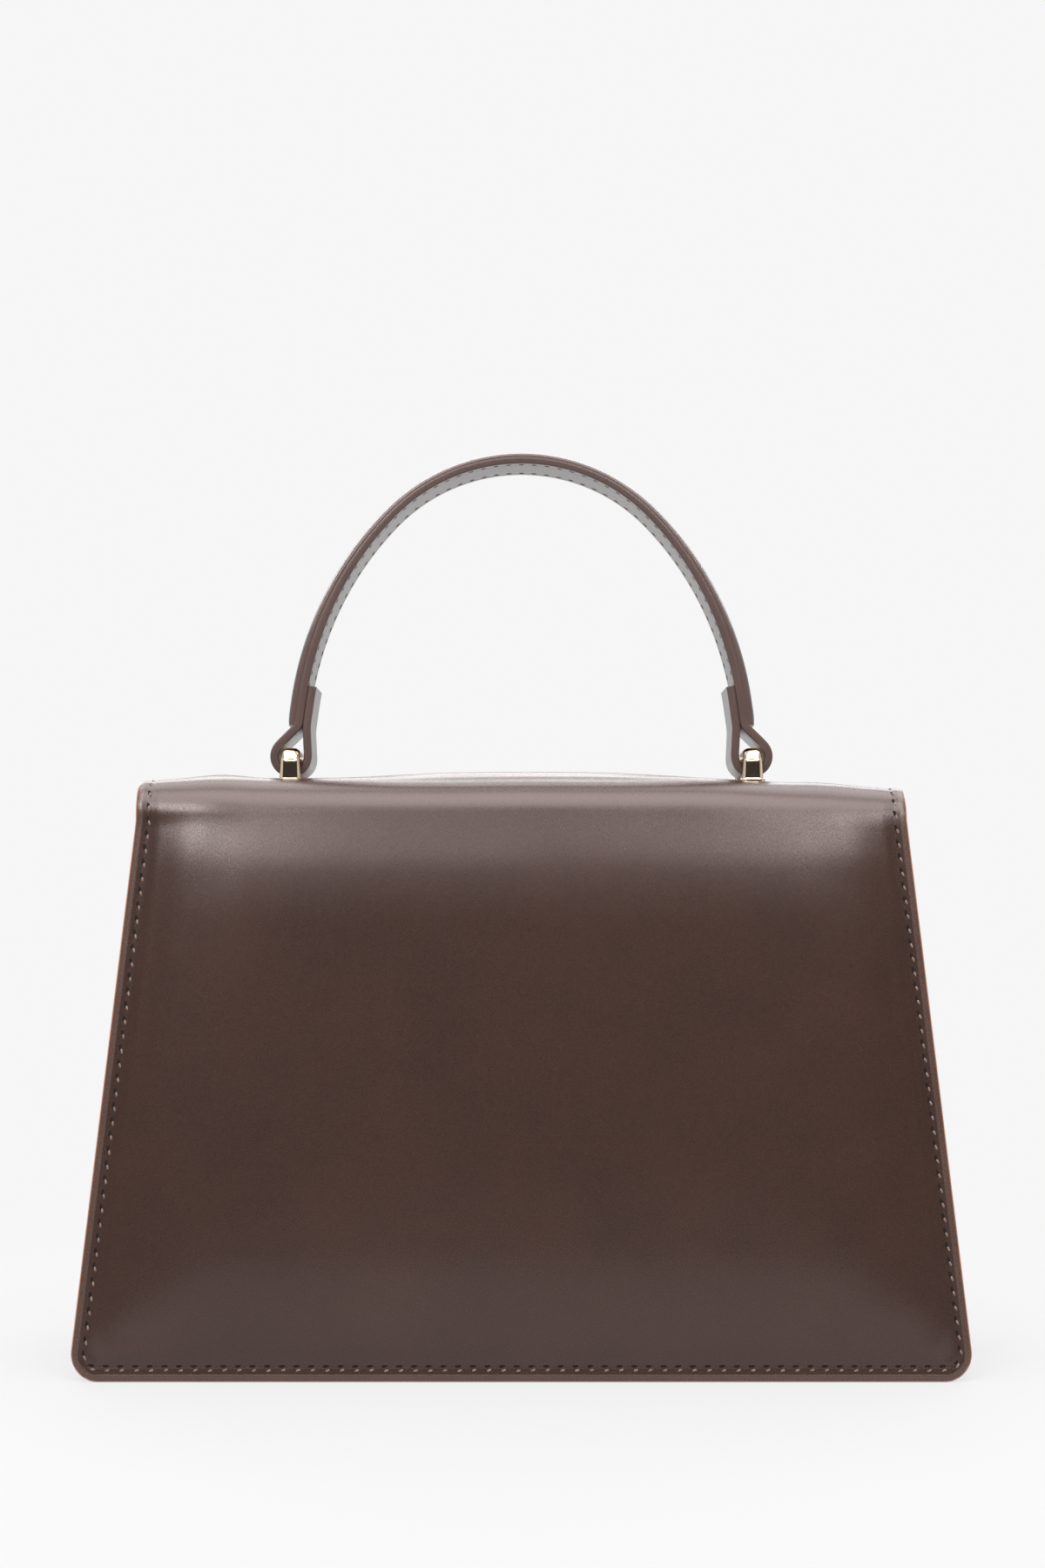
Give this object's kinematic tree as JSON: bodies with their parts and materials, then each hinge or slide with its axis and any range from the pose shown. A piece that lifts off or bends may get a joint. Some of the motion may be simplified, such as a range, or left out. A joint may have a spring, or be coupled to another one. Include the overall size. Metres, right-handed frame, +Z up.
{
  "type": "top-handle satchel",
  "caption": "Structured leather satchel with a full flap, padded panels, a wrapped top handle on metal arches and a hidden press closure.",
  "frame": {"origin": "middle of the footprint, on the surface that the bag stands on", "axes": "+Z up, +X to the right of someone looking at the back panel, +Y from the back panel to the flap"},
  "size_m": [0.2398, 0.0882, 0.2555],
  "materials": {
    "leather": "satin",
    "lining_leather": "satin",
    "lining": "matte",
    "board": "matte",
    "foam": "matte",
    "gold": "polished",
    "steel": "satin"
  },
  "bodies": {
    "root": {"back_panel": "leather", "back_foam": "foam", "back_board": "board", "back_lining": "lining", "slip_pocket": "lining", "front_panel": "leather", "front_foam": "foam", "front_board": "board", "front_lining": "lining", "front_binding": "lining_leather", "gusset_left": "leather", "gusset_right": "leather", "base_panel": "leather", "base_board": "board", "gusset_lining": "lining", "snap_socket": "gold", "socket_washer": "steel", "back_fold": "leather", "back_fold_lining": "lining_leather"},
    "top": {"top_panel": "leather", "top_foam": "foam", "top_board": "board", "top_lining": "lining", "arch_left": "gold", "arch_right": "gold", "arch_plates": "steel", "arch_screws": "steel", "front_fold": "leather", "front_fold_lining": "lining_leather"},
    "flap": {"flap_panel": "leather", "flap_foam": "foam", "flap_board": "board", "flap_lining": "lining_leather", "snap_plug": "gold", "plug_washer": "steel"},
    "handle": {"handle_strap": "lining_leather", "handle_cover": "leather", "handle_core": "foam"}
  },
  "joints": [
    {"name": "top_lift", "type": "hinge", "parent": "root", "child": "top", "pos_m": [0, -0.02539, 0.15841], "axis": [1, 0, 0], "range_deg": [0, 100], "deforming": ["back_fold", "back_fold_lining"]},
    {"name": "flap_lift", "type": "hinge", "parent": "top", "child": "flap", "pos_m": [0, 0.03162, 0.15841], "axis": [1, 0, 0], "range_deg": [0, 160], "deforming": ["front_fold", "front_fold_lining"]},
    {"name": "handle_lean", "type": "hinge", "parent": "top", "child": "handle", "pos_m": [0, 0.00312, 0.16895], "axis": [1, 0, 0], "range_deg": [-5, 5]}
  ]
}
